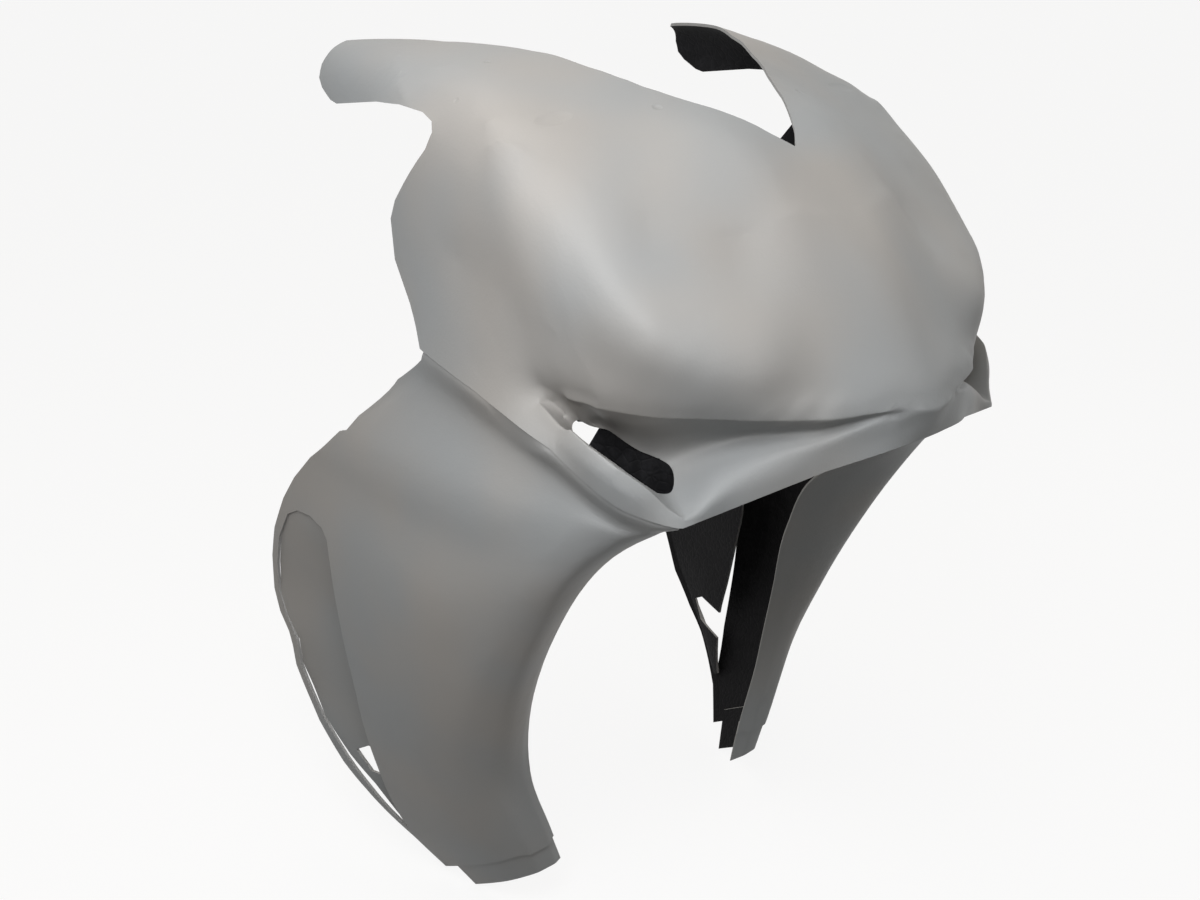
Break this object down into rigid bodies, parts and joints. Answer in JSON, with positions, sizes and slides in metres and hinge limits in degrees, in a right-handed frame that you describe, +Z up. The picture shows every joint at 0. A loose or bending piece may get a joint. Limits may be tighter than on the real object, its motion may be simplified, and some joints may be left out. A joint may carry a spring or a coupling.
{
  "type": "motorcycle upper fairing",
  "caption": "Thin moulded nose and side fairing for a sports motorcycle, with a screen opening, a lipped nose, intake slots under the brow and vented side panels.",
  "frame": {"origin": "front tip of the screen opening's edge, on the symmetry plane, at the outer face", "axes": "+X to the object's left-to-right across the two panels, +Y rearward, +Z up; the YZ plane is the mirror plane"},
  "size_m": [0.5022, 0.5542, 0.7768],
  "materials": {
    "primer": "satin grey primer outside, dull black inside"
  },
  "bodies": {
    "root": {"fairing_shell": "primer"}
  },
  "joints": []
}
